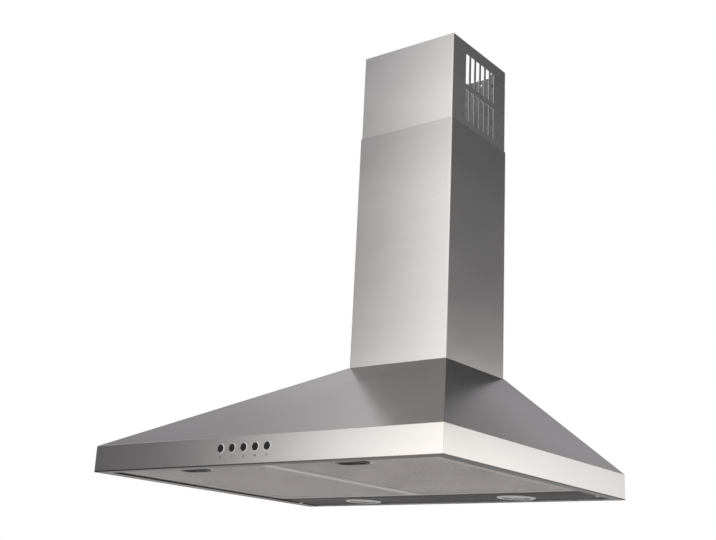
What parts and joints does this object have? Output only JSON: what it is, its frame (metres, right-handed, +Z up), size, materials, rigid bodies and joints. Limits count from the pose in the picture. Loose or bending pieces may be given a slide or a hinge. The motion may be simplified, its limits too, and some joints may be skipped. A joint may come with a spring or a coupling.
{
  "type": "chimney range hood",
  "caption": "Wall-mounted chimney range hood in brushed steel, with a pyramid canopy, a telescopic vented chimney, grease filters, round lamps and a row of push buttons.",
  "frame": {"origin": "on the wall plane, at the middle of the hood and level with the lower edge of its lip", "axes": "+X to the right of someone who faces the hood, +Y into the wall, +Z up"},
  "size_m": [0.6, 0.5022, 0.753],
  "materials": {
    "brushed_steel": "brushed stainless, satin",
    "underside_steel": "brushed stainless, satin",
    "galvanised_steel": "zinc coated, dull",
    "filter_aluminium": "satin",
    "filter_mesh_aluminium": "expanded mesh",
    "latch_plastic": "fine grain",
    "bright_chrome": "bright",
    "lamp_glass": "frosted",
    "lamp_can_aluminium": "spun",
    "button_plastic": "satin",
    "switch_plastic": "moulded",
    "blower_plastic": "moulded",
    "impeller_plastic": "moulded",
    "duct_plastic": "moulded",
    "flap_plastic": "moulded",
    "motor_painted": "stoved enamel",
    "shaft_steel": "ground",
    "screw_steel": "zinc plated",
    "bush_rubber": "matt",
    "gland_plastic": "moulded",
    "capacitor_case": "gloss",
    "terminal_plastic": "moulded",
    "terminal_block_plastic": "moulded",
    "transformer_plastic": "moulded",
    "lead_sheath": "smooth PVC"
  },
  "bodies": {
    "hood": {"back_plate": "galvanised_steel", "blower_bushes": "bush_rubber", "blower_posts": "blower_plastic", "blower_screws": "screw_steel", "button_rings": "bright_chrome", "cable_gland": "gland_plastic", "canopy_shell": "brushed_steel", "capacitor": "capacitor_case", "capacitor_clip": "galvanised_steel", "flap_pin": "screw_steel", "inlet_guard": "blower_plastic", "inlet_ring": "blower_plastic", "lamp_leads": "lead_sheath", "lamp_left_bezel": "bright_chrome", "lamp_left_can": "lamp_can_aluminium", "lamp_left_lens": "lamp_glass", "lamp_right_bezel": "bright_chrome", "lamp_right_can": "lamp_can_aluminium", "lamp_right_lens": "lamp_glass", "lamp_strip": "underside_steel", "lamp_strip_screws": "screw_steel", "lamp_transformer": "transformer_plastic", "lower_chimney": "brushed_steel", "motor": "motor_painted", "motor_bracket": "galvanised_steel", "motor_bushes": "bush_rubber", "motor_lead": "lead_sheath", "motor_screws": "screw_steel", "outlet_collar": "duct_plastic", "outlet_transition": "duct_plastic", "scroll_front_half": "blower_plastic", "scroll_rear_half": "blower_plastic", "scroll_screws": "screw_steel", "switch_body": "switch_plastic", "switch_bracket": "galvanised_steel", "switch_lead": "lead_sheath", "terminal_block": "terminal_block_plastic", "terminal_box": "terminal_plastic", "terminal_lid": "terminal_plastic", "underside_pan": "underside_steel", "wall_bracket": "galvanised_steel"},
    "filter_left": {"filter_left_frame": "filter_aluminium", "filter_left_mesh": "filter_mesh_aluminium", "filter_left_latch_cup": "latch_plastic"},
    "latch_left": {"filter_left_latch_slider": "latch_plastic"},
    "filter_right": {"filter_right_frame": "filter_aluminium", "filter_right_mesh": "filter_mesh_aluminium", "filter_right_latch_cup": "latch_plastic"},
    "latch_right": {"filter_right_latch_slider": "latch_plastic"},
    "button_1": {"button_1": "button_plastic"},
    "button_2": {"button_2": "button_plastic"},
    "button_3": {"button_3": "button_plastic"},
    "button_4": {"button_4": "button_plastic"},
    "button_5": {"button_5": "button_plastic"},
    "upper_chimney": {"upper_chimney": "brushed_steel"},
    "impeller": {"impeller": "impeller_plastic", "motor_shaft": "shaft_steel", "impeller_nut": "screw_steel"},
    "flap_left": {"flap_left": "flap_plastic"},
    "flap_right": {"flap_right": "flap_plastic"}
  },
  "joints": [
    {"name": "upper_chimney_slide", "type": "slide", "parent": "hood", "child": "upper_chimney", "axis": [0, 0, 1], "range_m": [-0.15, 0.17]},
    {"name": "filter_left_swing", "type": "hinge", "parent": "hood", "child": "filter_left", "pos_m": [-0.1385, -0.1085, 0.0075], "axis": [1, 0, 0], "range_deg": [0, 75]},
    {"name": "latch_left_slide", "type": "slide", "parent": "filter_left", "child": "latch_left", "axis": [0, -1, 0], "range_m": [0, 0.004]},
    {"name": "filter_right_swing", "type": "hinge", "parent": "hood", "child": "filter_right", "pos_m": [0.1385, -0.1085, 0.0075], "axis": [1, 0, 0], "range_deg": [0, 75]},
    {"name": "latch_right_slide", "type": "slide", "parent": "filter_right", "child": "latch_right", "axis": [0, -1, 0], "range_m": [0, 0.004]},
    {"name": "button_1_press", "type": "slide", "parent": "hood", "child": "button_1", "axis": [0, 1, 0], "range_m": [0, 0.0025], "stiffness_N_per_m": 400},
    {"name": "button_2_press", "type": "slide", "parent": "hood", "child": "button_2", "axis": [0, 1, 0], "range_m": [0, 0.0025], "stiffness_N_per_m": 400},
    {"name": "button_3_press", "type": "slide", "parent": "hood", "child": "button_3", "axis": [0, 1, 0], "range_m": [0, 0.0025], "stiffness_N_per_m": 400},
    {"name": "button_4_press", "type": "slide", "parent": "hood", "child": "button_4", "axis": [0, 1, 0], "range_m": [0, 0.0025], "stiffness_N_per_m": 400},
    {"name": "button_5_press", "type": "slide", "parent": "hood", "child": "button_5", "axis": [0, 1, 0], "range_m": [0, 0.0025], "stiffness_N_per_m": 400},
    {"name": "impeller_spin", "type": "hinge", "parent": "hood", "child": "impeller", "pos_m": [-0.05967, 0, 0.112], "axis": [0, 1, 0], "continuous": true},
    {"name": "flap_left_swing", "type": "hinge", "parent": "hood", "child": "flap_left", "pos_m": [0, -0.09, 0.2788], "axis": [0, 1, 0], "range_deg": [0, 75]},
    {"name": "flap_right_swing", "type": "hinge", "parent": "hood", "child": "flap_right", "pos_m": [0, -0.09, 0.2788], "axis": [0, -1, 0], "range_deg": [0, 75]}
  ]
}
